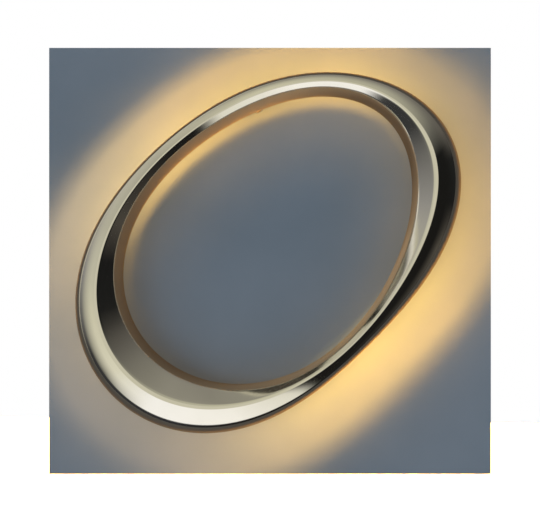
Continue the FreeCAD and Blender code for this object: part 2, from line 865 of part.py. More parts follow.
def main():
    """Builds every sub-part, checks it and writes its file."""
    parts = make_shell()
    parts += make_plates()
    parts += make_stud_hardware()
    parts += make_pins()
    parts += make_modules()
    parts += make_terminal()
    parts += make_gland()
    parts += make_sockets()
    document.recompute()
    for item in document.Objects:
        if {"Invalid", "Error"} & set(item.State):
            raise RuntimeError(f"{item.Name} failed: {item.State}")
    os.makedirs("parts", exist_ok=True)
    for part in parts:
        if part.Shape.isNull() or not part.Shape.isValid():
            raise RuntimeError(f"{part.Label} has no valid shape")
        part.Shape.exportStep(f"parts/{part.Label}.step")
        box = part.Shape.BoundBox
        print(
            f"{part.Label}: {len(part.Shape.Solids)} solids, {part.Shape.Volume:.0f} mm3,"
            f" x {box.XMin:.1f} to {box.XMax:.1f}, y {box.YMin:.1f} to {box.YMax:.1f},"
            f" z {box.ZMin:.1f} to {box.ZMax:.1f}"
        )


main()
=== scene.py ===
import json
import math

import bpy
import numpy as np
from mathutils import Matrix, Vector

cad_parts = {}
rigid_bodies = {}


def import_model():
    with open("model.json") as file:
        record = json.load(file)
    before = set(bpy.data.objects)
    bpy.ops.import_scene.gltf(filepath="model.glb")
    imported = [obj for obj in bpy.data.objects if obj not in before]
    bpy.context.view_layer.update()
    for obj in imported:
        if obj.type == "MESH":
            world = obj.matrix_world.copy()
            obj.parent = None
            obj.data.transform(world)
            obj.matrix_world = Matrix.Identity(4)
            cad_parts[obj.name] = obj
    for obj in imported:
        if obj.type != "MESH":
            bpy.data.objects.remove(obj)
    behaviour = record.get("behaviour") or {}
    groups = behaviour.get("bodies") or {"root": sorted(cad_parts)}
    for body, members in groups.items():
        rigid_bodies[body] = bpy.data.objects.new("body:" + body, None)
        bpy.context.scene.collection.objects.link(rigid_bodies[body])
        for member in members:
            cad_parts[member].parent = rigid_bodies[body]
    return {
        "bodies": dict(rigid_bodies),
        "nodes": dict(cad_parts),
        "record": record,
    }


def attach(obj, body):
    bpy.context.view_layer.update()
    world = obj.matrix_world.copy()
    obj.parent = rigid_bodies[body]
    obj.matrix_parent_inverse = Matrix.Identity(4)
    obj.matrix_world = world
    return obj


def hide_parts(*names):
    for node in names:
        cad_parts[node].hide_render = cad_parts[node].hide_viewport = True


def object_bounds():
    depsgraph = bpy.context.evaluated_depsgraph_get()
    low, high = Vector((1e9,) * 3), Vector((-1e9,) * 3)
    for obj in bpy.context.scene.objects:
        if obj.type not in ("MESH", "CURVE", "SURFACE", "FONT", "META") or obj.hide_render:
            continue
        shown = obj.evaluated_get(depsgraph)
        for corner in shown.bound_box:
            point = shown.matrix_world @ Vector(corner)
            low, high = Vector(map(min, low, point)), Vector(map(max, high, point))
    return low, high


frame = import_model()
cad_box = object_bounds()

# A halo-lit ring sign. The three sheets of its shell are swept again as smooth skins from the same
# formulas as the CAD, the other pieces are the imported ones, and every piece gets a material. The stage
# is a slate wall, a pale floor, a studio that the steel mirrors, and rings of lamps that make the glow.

# ---- shape of the ring, metres ---------------------------------------------------------------------

RIM = {"radius": 0.245, "oval": (0.376, 40.5), "egg": (0.039, -36.5), "square": (0.03, -42.5)}
HOLE = {"radius": 0.203, "oval": (0.286, 44), "egg": (0.053, -8.5), "centre": (0.008, 0.0115)}
STAND_OFF = 0.032
GAUGE = 0.0012
RETURN_HEIGHT = 0.008
HOLE_WALL_HEIGHT = 0.0345
HOLE_WALL_FLARE = 0.0043
RIDGE_SHARE = 0.8
RIDGE_SHARE_LOSS = 2.4
RIDGE_BASE = 0.0305
RIDGE_GAIN = 0.427
RIDGE_ROUND_SHARE = 0.07
RIDGE_FULLNESS = 0.86
FLANK_RISE = math.radians(17)
FLANK_FULLNESS = 1.2
LIP_BEND = 0.0016
EDGE_BEND = 0.0003
SEAM_GAP = 0.0001
STATIONS = 720
HALVINGS = 30
SHARP_FROM = math.radians(50)
LIP_FULLNESS = 0.8
CORNER_FULLNESS = 0.7
FLANK_STEPS = 44
INNER_FLANK_STEPS = 16
RIDGE_STEPS = 16
SLOPE_STEPS = 8
LIP_STEPS = 7
CORNER_STEPS = 4


def rim_points(angles):
    """Points of the rim's outline (x, z) at polar angles in radians."""
    wave = 1 - RIM["oval"][0] * np.cos(2 * (angles - math.radians(RIM["oval"][1])))
    wave += RIM["egg"][0] * np.cos(3 * (angles - math.radians(RIM["egg"][1])))
    wave += RIM["square"][0] * np.cos(4 * (angles - math.radians(RIM["square"][1])))
    reach = RIM["radius"] / np.sqrt(wave)
    return np.stack([reach * np.cos(angles), reach * np.sin(angles)], -1)


def hole_reach(angles):
    """Distance of the hole's outline from its own centre at polar angles in radians."""
    wave = 1 - HOLE["oval"][0] * np.cos(2 * (angles - math.radians(HOLE["oval"][1])))
    wave += HOLE["egg"][0] * np.cos(3 * (angles - math.radians(HOLE["egg"][1])))
    return HOLE["radius"] / np.sqrt(wave)


def band(count):
    """Rim points, unit vectors square to the rim towards the hole, and the band's widths."""
    angles = np.arange(count) * 2 * math.pi / count
    nudge = 0.0001
    rim = rim_points(angles)
    along = rim_points(angles + nudge) - rim_points(angles - nudge)
    inward = np.stack([-along[:, 1], along[:, 0]], -1)
    inward /= np.linalg.norm(inward, axis=1, keepdims=True)
    near = np.zeros(count)
    far = np.full(count, RIM["radius"])
    for _ in range(HALVINGS):
        guess = (near + far) / 2
        arm = rim + inward * guess[:, None] - np.array(HOLE["centre"])
        outside = np.hypot(arm[:, 0], arm[:, 1]) > hole_reach(np.arctan2(arm[:, 1], arm[:, 0]))
        near = np.where(outside, guess, near)
        far = np.where(outside, far, guess)
    return rim, inward, near


RIM_AT, INWARD_AT, WIDTH_AT = band(STATIONS)


def spot(inward, level):
    """One point of every station's cross-section: distance in from the rim and level off the back."""
    blank = np.zeros(STATIONS)
    return np.stack([blank + inward, blank + level], -1)


def conic(start, pull, end, fullness, steps):
    """Points of a conic from start to end that bends towards pull, at every station."""
    t = np.linspace(0, 1, steps)[None, :, None]
    weights = [(1 - t) ** 2, 2 * fullness * t * (1 - t), t**2]
    total = sum(weights)
    ends = (start[:, None], pull[:, None], end[:, None])
    return sum(weight * point for weight, point in zip(weights, ends)) / total


def straight(start, end, steps):
    """Evenly spaced points on the line from start to end, at every station."""
    t = np.linspace(0, 1, steps)[None, :, None]
    return start[:, None] * (1 - t) + end[:, None] * t


def towards(start, end, distance):
    """The point a distance from start on the way to end, at every station."""
    way = end - start
    return start + way / np.linalg.norm(way, axis=1, keepdims=True) * distance


def section_corners():
    """The cross-section's corners and pull points at every station; _in is a gauge inside the skin."""
    ridge = (RIDGE_SHARE - RIDGE_SHARE_LOSS * WIDTH_AT) * WIDTH_AT
    top = RIDGE_BASE + RIDGE_GAIN * WIDTH_AT
    fall = np.arctan2(top - HOLE_WALL_HEIGHT, WIDTH_AT - ridge)
    flank_pull = top - ridge * math.tan(FLANK_RISE)
    rounding = RIDGE_ROUND_SHARE * WIDTH_AT
    under_flank = spot(GAUGE * math.sin(FLANK_RISE), -GAUGE * math.cos(FLANK_RISE))
    under_slope = spot(-GAUGE * np.sin(fall), -GAUGE * np.cos(fall))
    mitre = 1 + np.cos(FLANK_RISE + fall)[:, None]
    drop = GAUGE * (math.sin(FLANK_RISE) - 1) / math.cos(FLANK_RISE)
    apex = spot(ridge, top)
    start = spot(ridge - rounding * math.cos(FLANK_RISE), top - rounding * math.sin(FLANK_RISE))
    end = spot(ridge + rounding * np.cos(fall), top - rounding * np.sin(fall))
    lip = spot(WIDTH_AT, HOLE_WALL_HEIGHT)
    return {
        "foot": spot(0, 0),
        "shoulder": spot(0, RETURN_HEIGHT),
        "flank_pull": spot(0, flank_pull),
        "ridge_start": start,
        "ridge_pull": apex,
        "ridge_end": end,
        "lip": lip,
        "toe": spot(WIDTH_AT + HOLE_WALL_FLARE, 0),
        "foot_in": spot(GAUGE, 0),
        "shoulder_in": spot(GAUGE, RETURN_HEIGHT),
        "flank_pull_in": spot(GAUGE, flank_pull + drop),
        "ridge_start_in": start + under_flank,
        "ridge_pull_in": apex + (under_flank + under_slope) / mitre,
        "ridge_end_in": end + under_slope,
        "lip_in": lip + under_slope,
        "toe_in": spot(WIDTH_AT + HOLE_WALL_FLARE - GAUGE, 0),
    }


CORNERS = section_corners()


def swept(name, *runs):
    """A closed ring mesh from runs of profile points, each (stations, points, 2)."""
    profile = np.concatenate(runs, 1)
    count = profile.shape[1]
    plan = RIM_AT[:, None] + INWARD_AT[:, None] * profile[..., :1]
    points = np.stack([plan[..., 0], -STAND_OFF - profile[..., 1], plan[..., 1]], -1)
    mesh = bpy.data.meshes.new(name)
    row = np.arange(STATIONS)[:, None] * count
    next_row = (np.arange(STATIONS)[:, None] + 1) % STATIONS * count
    column = np.arange(count)[None]
    next_column = (column + 1) % count
    quads = np.stack([row + column, row + next_column, next_row + next_column, next_row + column], -1)
    mesh.from_pydata(points.reshape(-1, 3).tolist(), [], quads.reshape(-1, 4).tolist())
    mesh.polygons.foreach_set("use_smooth", [True] * len(mesh.polygons))
    mesh.set_sharp_from_angle(angle=SHARP_FROM)
    piece = bpy.data.objects.new(name, mesh)
    bpy.context.collection.objects.link(piece)
    return piece


def bend(before, corner, after, radius):
    """A small round in place of a corner."""
    start = towards(corner, before, radius)
    end = towards(corner, after, radius)
    return conic(start, corner, end, CORNER_FULLNESS, CORNER_STEPS)


def make_face():
    """The formed front of the ring, with its lip turned over the hole's wall."""
    c = CORNERS
    slope_end = towards(c["lip"], c["ridge_end"], LIP_BEND)
    wall_start = towards(c["lip"], c["toe"], LIP_BEND)
    wall_start_in = towards(c["lip_in"], c["toe_in"], LIP_BEND)
    ridge_in = conic(
        c["ridge_end_in"], c["ridge_pull_in"], c["ridge_start_in"], RIDGE_FULLNESS, RIDGE_STEPS // 2
    )
    flank_in = conic(
        c["ridge_start_in"], c["flank_pull_in"], c["shoulder_in"], FLANK_FULLNESS, INNER_FLANK_STEPS
    )
    return swept(
        "face_dome_skin",
        conic(c["shoulder"], c["flank_pull"], c["ridge_start"], FLANK_FULLNESS, FLANK_STEPS),
        conic(c["ridge_start"], c["ridge_pull"], c["ridge_end"], RIDGE_FULLNESS, RIDGE_STEPS)[:, 1:],
        straight(c["ridge_end"], slope_end, SLOPE_STEPS)[:, 1:],
        conic(slope_end, c["lip"], wall_start, LIP_FULLNESS, LIP_STEPS)[:, 1:],
        wall_start_in[:, None],
        straight(c["lip_in"], c["ridge_end_in"], SLOPE_STEPS // 2),
        ridge_in[:, 1:],
        flank_in[:, 1:],
    )


def make_rim_wall():
    """The straight wall round the outside of the ring."""
    c = CORNERS
    return swept(
        "rim_wall_skin",
        bend(c["foot_in"], c["foot"], c["shoulder"], EDGE_BEND),
        c["shoulder"][:, None],
        c["shoulder_in"][:, None],
        bend(c["shoulder_in"], c["foot_in"], c["foot"], EDGE_BEND),
    )


def make_hole_wall():
    """The wall round the hole, which starts under the face's lip."""
    c = CORNERS
    seam = LIP_BEND + SEAM_GAP
    return swept(
        "hole_wall_skin",
        towards(c["lip"], c["toe"], seam)[:, None],
        bend(c["lip"], c["toe"], c["toe_in"], EDGE_BEND),
        bend(c["toe"], c["toe_in"], c["lip_in"], EDGE_BEND),
        towards(c["lip_in"], c["toe_in"], seam)[:, None],
    )


# ---- material helpers ------------------------------------------------------------------------------

# sockets of a colour mix node, which share their names with sockets of other kinds
FIRST_COLOUR = 6
SECOND_COLOUR = 7
MIXED_COLOUR = 2
CLOUD_TO_GRAIN = 0.12


def new_material(name):
    """A material with its node tree and its principled shader."""
    material = bpy.data.materials.new(name)
    material.use_nodes = True
    tree = material.node_tree
    shader = tree.nodes["Principled BSDF"]
    return material, tree, shader


def node(tree, kind, links=None, values=None, **settings):
    """Adds a node, sets its properties and sockets, and links sockets from other nodes' outputs."""
    made = tree.nodes.new(kind)
    for key, value in settings.items():
        setattr(made, key, value)
    for key, value in (values or {}).items():
        made.inputs[key].default_value = value
    for key, source in (links or {}).items():
        tree.links.new(source, made.inputs[key])
    return made


def feed(tree, source, socket):
    """Links a node's output to a socket, or sets the socket to a plain number or colour."""
    if isinstance(source, bpy.types.NodeSocket):
        tree.links.new(source, socket)
    elif isinstance(source, tuple):
        socket.default_value = (*source, 1)
    else:
        socket.default_value = source


def maths(tree, operation, *sources):
    """A maths node whose inputs are outputs or plain numbers; gives its output."""
    made = node(tree, "ShaderNodeMath", operation=operation)
    for index, source in enumerate(sources):
        feed(tree, source, made.inputs[index])
    return made.outputs[0]


def mix(tree, factor, first, second, blend="MIX"):
    """A blend of two colours, each an output or a plain colour; gives its colour output."""
    made = node(tree, "ShaderNodeMix", data_type="RGBA", blend_type=blend)
    feed(tree, factor, made.inputs[0])
    feed(tree, first, made.inputs[FIRST_COLOUR])
    feed(tree, second, made.inputs[SECOND_COLOUR])
    return made.outputs[MIXED_COLOUR]


def ramp(tree, factor, stops):
    """A colour ramp: stops are (position, grey or colour); gives its colour output."""
    made = node(tree, "ShaderNodeValToRGB", links={"Fac": factor})
    elements = made.color_ramp.elements
    while len(elements) < len(stops):
        elements.new(0.5)
    for element, (position, colour) in zip(elements, stops):
        element.position = position
        shade = (colour, colour, colour) if isinstance(colour, (int, float)) else colour
        element.color = (*shade, 1)
    return made.outputs["Color"]


def noise(tree, scale, detail=3.0, stretch=(1, 1, 1)):
    """A noise in the object's own metres, squeezed along axes; gives its grey output."""
    place = node(tree, "ShaderNodeTexCoord").outputs["Object"]
    mapping = node(tree, "ShaderNodeMapping", links={"Vector": place}, values={"Scale": stretch})
    made = node(
        tree, "ShaderNodeTexNoise", links={"Vector": mapping.outputs[0]},
        values={"Scale": scale, "Detail": detail},
    )
    return made.outputs["Fac"]


def bump(tree, shader, height, distance, strength=1.0):
    """Surface relief on a shader, its depth in metres."""
    made = node(
        tree, "ShaderNodeBump", links={"Height": height},
        values={"Distance": distance, "Strength": strength},
    )
    tree.links.new(made.outputs["Normal"], shader.inputs["Normal"])


def finish_of(name, colours, rough, metal=0.0, grain=400.0, relief=0.00003, stretch=(1, 1, 1)):
    """A plain finish with fine variation of colour, roughness and surface."""
    material, tree, shader = new_material(name)
    cloud = noise(tree, grain * CLOUD_TO_GRAIN, 4, stretch)
    fine = noise(tree, grain, 5, stretch)
    tint = ramp(tree, cloud, [(0.3, colours[0]), (0.7, colours[1])])
    tree.links.new(tint, shader.inputs["Base Color"])
    tree.links.new(ramp(tree, fine, [(0.25, rough[0]), (0.75, rough[1])]), shader.inputs["Roughness"])
    shader.inputs["Metallic"].default_value = metal
    bump(tree, shader, fine, relief)
    return material, tree, shader


# ---- materials -------------------------------------------------------------------------------------

PANEL_GLOW = 0.5
LENS_GLOW = 6.0


def mirror_steel():
    """Polished stainless steel with a faint warm tint, soft polishing clouds and hairline marks."""
    material, tree, shader = new_material("mirror_steel")
    cloud = noise(tree, 14, 3)
    marks = noise(tree, 900, 2, (1, 0.2, 0.04))
    tint = ramp(tree, cloud, [(0.3, (0.80, 0.785, 0.735)), (0.7, (0.85, 0.835, 0.79))])
    tree.links.new(tint, shader.inputs["Base Color"])
    smudge = ramp(tree, cloud, [(0.35, 0.045), (0.75, 0.09)])
    scratch = ramp(tree, marks, [(0.62, 0.0), (0.8, 0.06)])
    tree.links.new(mix(tree, 1.0, smudge, scratch, "ADD"), shader.inputs["Roughness"])
    shader.inputs["Metallic"].default_value = 1.0
    bump(tree, shader, noise(tree, 6, 2), 0.00012, 0.6)
    return material


def mill_steel():
    """Plain stainless stock and fasteners, dull with fine drawn lines."""
    colours = ((0.50, 0.50, 0.49), (0.62, 0.61, 0.59))
    return finish_of(
        "mill_steel", colours, (0.26, 0.42), metal=1.0, grain=2600, relief=0.00002, stretch=(1, 1, 0.2)
    )[0]


def turned_aluminium():
    """Turned, clear anodised aluminium, with fine tool rings along its axis."""
    colours = ((0.66, 0.66, 0.67), (0.76, 0.76, 0.77))
    material, tree, shader = finish_of(
        "turned_aluminium", colours, (0.24, 0.36), metal=1.0, grain=1500, relief=0.00001
    )
    place = node(tree, "ShaderNodeTexCoord").outputs["Object"]
    rings = node(
        tree, "ShaderNodeTexWave", links={"Vector": place}, wave_type="BANDS", bands_direction="Y",
        values={"Scale": 900.0, "Distortion": 0.4, "Detail": 1.0},
    )
    bump(tree, shader, rings.outputs["Fac"], 0.00002)
    return material


def glow_of(tree, shader, colours, strength, cloud):
    """Warm light given off by a surface, a little uneven."""
    tint = ramp(tree, cloud, [(0.2, colours[0]), (0.8, colours[1])])
    tree.links.new(tint, shader.inputs["Emission Color"])
    shader.inputs["Emission Strength"].default_value = strength


def opal_panel():
    """Light-diffusing sheet, glowing warm from the lamps behind it."""
    colours = ((0.80, 0.77, 0.68), (0.87, 0.84, 0.76))
    material, tree, shader = finish_of("opal_panel", colours, (0.22, 0.30), grain=300, relief=0.00002)
    glow_of(tree, shader, ((1.0, 0.50, 0.12), (1.0, 0.60, 0.20)), PANEL_GLOW, noise(tree, 22, 2))
    return material


def led_lens():
    """Clear lens over a warm lamp."""
    colours = ((0.95, 0.80, 0.50), (1.0, 0.88, 0.62))
    material, tree, shader = finish_of("led_lens", colours, (0.05, 0.12), grain=900, relief=0.00001)
    glow_of(tree, shader, ((1.0, 0.60, 0.24), (1.0, 0.72, 0.36)), LENS_GLOW, noise(tree, 300, 2))
    return material


def white_tray():
    """White reflective coating on sheet, with faint roller texture."""
    colours = ((0.80, 0.80, 0.78), (0.88, 0.88, 0.86))
    return finish_of("white_tray", colours, (0.34, 0.48), grain=1100, relief=0.00004)[0]


def nylon():
    """Natural nylon, slightly milky."""
    colours = ((0.74, 0.72, 0.65), (0.84, 0.82, 0.76))
    material, _, shader = finish_of("nylon", colours, (0.38, 0.52), grain=900)
    shader.inputs["Subsurface Weight"].default_value = 0.2
    shader.inputs["Subsurface Radius"].default_value = (0.002, 0.002, 0.0015)
    return material


def module_plastic():
    """White potted lamp housing with a fine spark-eroded texture."""
    colours = ((0.84, 0.83, 0.80), (0.91, 0.90, 0.88))
    return finish_of("module_plastic", colours, (0.42, 0.58), grain=2200, relief=0.00005)[0]


def lead_pvc():
    """Black lead insulation, satin, with a trace of dust."""
    colours = ((0.012, 0.012, 0.013), (0.035, 0.034, 0.033))
    return finish_of("lead_pvc", colours, (0.34, 0.5), grain=1400)[0]


def terminal_plastic():
    """Light grey moulded terminal block."""
    colours = ((0.52, 0.53, 0.52), (0.62, 0.63, 0.62))
    return finish_of("terminal_plastic", colours, (0.40, 0.56), grain=1600, relief=0.00005)[0]


def brass_screw():
    """Plain brass, dulled a little in patches."""
    colours = ((0.55, 0.38, 0.13), (0.78, 0.58, 0.24))
    return finish_of("brass_screw", colours, (0.24, 0.42), metal=1.0, grain=1800)[0]


def gland_nylon():
    """Black moulded nylon with a fine grained skin."""
    colours = ((0.010, 0.010, 0.011), (0.028, 0.028, 0.029))
    return finish_of("gland_nylon", colours, (0.36, 0.52), grain=2400, relief=0.00006)[0]


MATERIALS = {
    "mirror_steel": mirror_steel(),
    "mill_steel": mill_steel(),
    "opal_panel": opal_panel(),
    "white_tray": white_tray(),
    "turned_aluminium": turned_aluminium(),
    "nylon": nylon(),
    "module_plastic": module_plastic(),
    "led_lens": led_lens(),
    "lead_pvc": lead_pvc(),
    "terminal_plastic": terminal_plastic(),
    "brass_screw": brass_screw(),
    "gland_nylon": gland_nylon(),
}


def dress(piece, slot):
    """Gives an object the finish of one material slot, without touching its mesh."""
    if not piece.material_slots:
        piece.data.materials.append(MATERIALS[slot])
        return
    for place in piece.material_slots:
        place.link = "OBJECT"
        place.material = MATERIALS[slot]


# ---- pieces ----------------------------------------------------------------------------------------


def stand_for(piece, body, slot, *nodes):
    """Puts a finished piece on its body in place of CAD nodes."""
    dress(piece, slot)
    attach(piece, body)
    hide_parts(*nodes)


stand_for(make_face(), "shell", "mirror_steel", "face_dome")
stand_for(make_rim_wall(), "shell", "mirror_steel", "outer_return")
stand_for(make_hole_wall(), "shell", "mirror_steel", "inner_return")

for part in frame["record"]["subparts"]:
    dress(frame["nodes"][part["node"]], part["material_slot"])


# ---- wall, floor, world ----------------------------------------------------------------------------

CAMERA_AT = (0.0994, -1.1415, -0.0754)
CAMERA_AIM = (0.0143, -0.0646, -0.0194)
CAMERA_LENS = 51.5
SENSOR = 36
FRAME_SHAPE = (540, 523)

# the board's edges as shares of the camera's frame, from its middle
WALL_SHARE = {"left": -0.409, "right": 0.409, "low": -0.4065, "high": 0.4085}
WALL_GAP = 0.0006
FAR_WALL = 2.0
UPPER_LEFT = (-0.8, 0.6)
RAMP_MIDDLE = 0.5
FLOOR_DROP = 0.9
FLOOR_SIZE = 6.0
FLOOR_GLOW = 0.5


def sheet_of(name, corners):
    """A single flat face."""
    mesh = bpy.data.meshes.new(name)
    mesh.from_pydata(corners, [], [range(len(corners))])
    piece = bpy.data.objects.new(name, mesh)
    bpy.context.collection.objects.link(piece)
    return piece


def wall_corner(side, rise):
    """The point of the wall's plane behind a point of the camera's frame, given in shares of it."""
    wide, high = FRAME_SHAPE
    look = (Vector(CAMERA_AIM) - Vector(CAMERA_AT)).normalized()
    right = look.cross(Vector((0, 0, 1))).normalized()
    up = right.cross(look)
    span = SENSOR / CAMERA_LENS
    ray = look + right * side * span + up * rise * span * high / wide
    return Vector(CAMERA_AT) + ray * (WALL_GAP - CAMERA_AT[1]) / ray.y


def wall_sheet():
    """The stretch of wall behind the ring, a plain upright board."""
    w = WALL_SHARE
    corners = [
        wall_corner(w["left"], w["low"]),
        wall_corner(w["right"], w["low"]),
        wall_corner(w["right"], w["high"]),
        wall_corner(w["left"], w["high"]),
    ]
    return sheet_of("wall_board", corners)


def far_wall_sheet():
    """The wall beyond the board, which only the mirror faces see."""
    half = FAR_WALL / 2
    depth = WALL_GAP / 2
    corners = [(-half, depth, -half), (half, depth, -half), (half, depth, half), (-half, depth, half)]
    sheet = sheet_of("wall_beyond", corners)
    sheet.visible_camera = False
    sheet.visible_diffuse = False
    sheet.visible_shadow = False
    sheet.visible_transmission = False
    return sheet


def slate_wall():
    """Matt slate-blue wall paint, cloudy, and clear from behind so that the ring's back can be seen."""
    material, tree, shader = new_material("slate_wall")
    cloud = noise(tree, 3.0, 5)
    tree.links.new(
        ramp(tree, cloud, [(0.3, (0.112, 0.150, 0.190)), (0.7, (0.155, 0.195, 0.240))]),
        shader.inputs["Base Color"],
    )
    shader.inputs["Roughness"].default_value = 0.85
    bump(tree, shader, noise(tree, 500, 4), 0.0002, 0.3)
    back = node(tree, "ShaderNodeNewGeometry").outputs["Backfacing"]
    clear = node(tree, "ShaderNodeBsdfTransparent").outputs[0]
    output = tree.nodes["Material Output"]
    mixed = node(tree, "ShaderNodeMixShader", links={0: back, 1: shader.outputs[0], 2: clear})
    tree.links.new(mixed.outputs[0], output.inputs["Surface"])
    return material


def wall_in_mirrors_painted_glow():
    """The wall as the steel shows it, in painted light: warm painted glow within the hole, painted shade
    round it, pale painted light far off at upper left.
    """
    material, tree, shader = new_material("wall_in_mirrors_painted_glow")
    place = node(tree, "ShaderNodeTexCoord").outputs["Object"]
    x, _, z = node(tree, "ShaderNodeSeparateXYZ", links={0: place}).outputs
    reach = node(tree, "ShaderNodeVectorMath", links={0: place}, operation="LENGTH").outputs["Value"]
    across = maths(tree, "ADD", x, RAMP_MIDDLE)
    upper_left = maths(tree, "MULTIPLY_ADD", x, UPPER_LEFT[0], maths(tree, "MULTIPLY", z, UPPER_LEFT[1]))
    # painted glow of the lamps within the hole, brighter to the right; painted shade round the ring,
    # turning to pale painted light at upper left
    within = ramp(tree, across, [(0.35, (0.15, 0.118, 0.080)), (0.65, (0.27, 0.235, 0.170))])
    beyond = ramp(tree, upper_left, [(0.42, (0.070, 0.062, 0.050)), (0.60, (0.62, 0.58, 0.45))])
    outside = ramp(tree, reach, [(0.19, 0.0), (0.24, 1.0)])
    tree.links.new(mix(tree, outside, within, beyond), shader.inputs["Base Color"])
    shader.inputs["Roughness"].default_value = 0.9
    return material


def pale_floor():
    """Plain pale floor, lit a little from within so that it stays pale all over."""
    colours = ((0.90, 0.90, 0.90), (0.93, 0.93, 0.92))
    material, _, shader = finish_of("pale_floor", colours, (0.7, 0.8), grain=12, relief=0.0001)
    shader.inputs["Emission Color"].default_value = (1.0, 1.0, 1.0, 1)
    shader.inputs["Emission Strength"].default_value = FLOOR_GLOW
    return material


wall = wall_sheet()
wall.visible_glossy = False
wall.data.materials.append(slate_wall())
# the sheet that only mirrors see wears painted glow, painted shade and painted light
far_wall_sheet().data.materials.append(wall_in_mirrors_painted_glow())

floor_level = cad_box[0].z - FLOOR_DROP
floor = sheet_of(
    "floor",
    [
        (-FLOOR_SIZE, -FLOOR_SIZE, floor_level),
        (FLOOR_SIZE, -FLOOR_SIZE, floor_level),
        (FLOOR_SIZE, FLOOR_SIZE, floor_level),
        (-FLOOR_SIZE, FLOOR_SIZE, floor_level),
    ],
)
floor.data.materials.append(pale_floor())
floor.visible_glossy = False


# mirrors see the studio's walls beyond the first angle from straight ahead, in degrees, and plain
# cream within the second
STRAIGHT_AHEAD = (34, 29)
CREAM = (0.66, 0.63, 0.49)
DAYLIGHT = (0.48, 0.49, 0.51)
WHITE = (1.0, 1.0, 1.0)


def studio_world():
    """Pale studio: plain for the camera and diffuse light, panels of light and dark for mirrors."""
    world = bpy.data.worlds.new("studio")
    bpy.context.scene.world = world
    world.use_nodes = True
    tree = world.node_tree
    tree.nodes.clear()
    way = node(tree, "ShaderNodeSeparateXYZ")
    tree.links.new(node(tree, "ShaderNodeTexCoord").outputs["Generated"], way.inputs[0])
    x, y, z = way.outputs
    angle = maths(tree, "ARCTAN2", z, x)
    turn = maths(tree, "ADD", maths(tree, "DIVIDE", angle, 2 * math.pi), 0.5)

    def at(degrees):
        """Ramp position of a direction round the ring, 0 to the right and 90 up."""
        return degrees / 360 + 0.5

    # what the steel sees high up on the studio's walls, and low down, beside the sign
    room = ramp(tree, turn, [
        (at(-180), (0.68, 0.65, 0.49)),
        (at(-150), (0.80, 0.77, 0.61)),
        (at(-122), (1.08, 1.06, 1.02)),
        (at(-80), (1.05, 1.02, 0.95)),
        (at(-60), (0.85, 0.82, 0.70)),
        (at(-56), (0.012, 0.011, 0.010)),
        (at(28), (0.010, 0.010, 0.009)),
        (at(44), (0.13, 0.125, 0.105)),
        (at(75), (0.46, 0.445, 0.34)),
        (at(108), (0.66, 0.63, 0.46)),
        (at(135), (0.44, 0.425, 0.34)),
        (at(160), (0.58, 0.56, 0.44)),
        (at(180), (0.68, 0.65, 0.49)),
    ])
    skirting = ramp(tree, turn, [
        (at(-180), (0.17, 0.165, 0.155)),
        (at(-160), (0.045, 0.045, 0.045)),
        (at(-120), (0.035, 0.035, 0.038)),
        (at(-75), (0.016, 0.014, 0.012)),
        (at(-50), (0.014, 0.013, 0.012)),
        (at(-22), (0.085, 0.075, 0.062)),
        (at(-4), (0.012, 0.012, 0.012)),
        (at(20), (0.016, 0.016, 0.015)),
        (at(36), (0.11, 0.10, 0.085)),
        (at(73), (0.25, 0.235, 0.20)),
        (at(105), (0.31, 0.295, 0.235)),
        (at(128), (0.54, 0.51, 0.39)),
        (at(146), (0.55, 0.52, 0.42)),
        (at(165), (0.31, 0.30, 0.28)),
        (at(180), (0.17, 0.165, 0.155)),
    ])
    forward = maths(tree, "MULTIPLY", y, -1)
    soft = ramp(tree, forward, [(0.10, 0.0), (0.55, 1.0)])
    sharp = ramp(tree, forward, [(0.12, 0.0), (0.17, 1.0)])
    low = ramp(tree, turn, [(at(-150), 0.0), (at(-125), 1.0), (at(-60), 1.0), (at(-50), 0.0)])
    walls = mix(tree, mix(tree, low, soft, sharp), skirting, room)
    outer_edge, inner_edge = (math.cos(math.radians(degrees)) for degrees in STRAIGHT_AHEAD)
    ahead = ramp(tree, forward, [(outer_edge, 0.0), (inner_edge, 1.0)])
    for_mirrors = mix(tree, ahead, walls, CREAM)

    path = node(tree, "ShaderNodeLightPath").outputs
    for_others = mix(tree, path["Is Camera Ray"], DAYLIGHT, WHITE)
    seen = mix(tree, path["Is Glossy Ray"], for_others, for_mirrors)
    background = node(tree, "ShaderNodeBackground", links={"Color": seen})
    node(tree, "ShaderNodeOutputWorld", links={"Surface": background.outputs[0]})


studio_world()

KEY_WAY = (0.6, 1.0, 0.35)
KEY_STRENGTH = 1.85
KEY_SPREAD = math.radians(50)


def make_key_light():
    """A broad soft key light from the front, left and below."""
    light = bpy.data.lights.new("key_light", "SUN")
    light.energy = KEY_STRENGTH
    light.angle = KEY_SPREAD
    light.color = (0.98, 0.99, 1.0)
    key = bpy.data.objects.new("key_light", light)
    bpy.context.collection.objects.link(key)
    key.rotation_mode = "QUATERNION"
    key.rotation_quaternion = Vector(KEY_WAY).to_track_quat("-Z", "Y")
    key.visible_glossy = False


make_key_light()


# ---- lamps -----------------------------------------------------------------------------------------

LAMPS = 54
LAMP_REACH = 0.067
AMBER = (1.0, 0.455, 0.07)
PEACH = (1.0, 0.56, 0.22)
GOLD = (1.0, 0.60, 0.08)
PALE_TURN = math.radians(205)
SWING_TURN = math.radians(120)
LAMP_LEVEL = 0.0068
OUTER_INWARD = 0.017
NEAR_INWARD = 0.0095
INNER_CLEAR = 0.0029
WASH_CLEAR = 0.012

